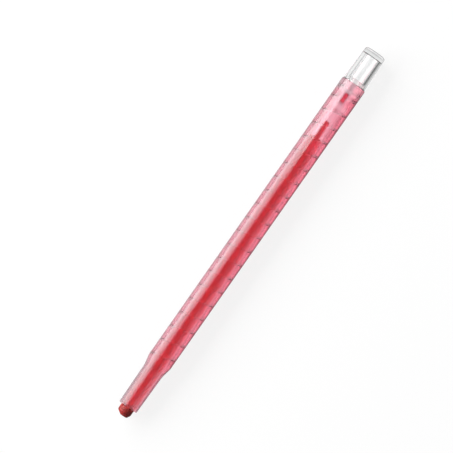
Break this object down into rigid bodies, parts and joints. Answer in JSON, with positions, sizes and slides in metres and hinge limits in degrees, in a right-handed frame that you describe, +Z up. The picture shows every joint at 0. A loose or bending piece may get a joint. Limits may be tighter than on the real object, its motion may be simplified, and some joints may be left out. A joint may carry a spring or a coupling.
{
  "type": "twist-up wax crayon",
  "caption": "Twist-up wax crayon: a translucent red barrel with a narrow nozzle and a helical inner groove, a red wax stick, and a clear knob that turns to feed the wax out or draw it back.",
  "frame": {"origin": "middle of the crayon's length, on the surface that the barrel lies on", "axes": "+X along the crayon from the nose of the wax to the twist knob, +Z up from the surface it lies on"},
  "size_m": [0.1474, 0.009, 0.009],
  "materials": {
    "barrel_plastic": "translucent red polypropylene, lightly frosted, smooth moulded outside",
    "knob_plastic": "clear colourless polystyrene, polished moulding",
    "tube_plastic": "natural translucent polypropylene, smooth",
    "key_plastic": "dark red moulded plastic",
    "carrier_plastic": "red moulded plastic",
    "wax": "cast pigmented wax, satin, slightly scuffed at the nose"
  },
  "bodies": {
    "barrel": {"barrel": "barrel_plastic"},
    "twist_drive": {"twist_knob": "knob_plastic", "drive_tube": "tube_plastic", "drive_key": "key_plastic"},
    "wax_carriage": {"wax_carrier": "carrier_plastic", "wax_stick": "wax"}
  },
  "joints": [
    {"name": "knob_twist", "type": "hinge", "parent": "barrel", "child": "twist_drive", "pos_m": [0, 0, 0.0045], "axis": [-1, 0, 0], "range_deg": [-306.5, 5634.5]},
    {"name": "wax_feed", "type": "slide", "parent": "twist_drive", "child": "wax_carriage", "axis": [-1, 0, 0], "range_m": [-0.00468, 0.08607]}
  ],
  "couplings": [
    {"joint": "knob_twist", "follows": "wax_feed", "rad_per_m": 1142.4}
  ]
}
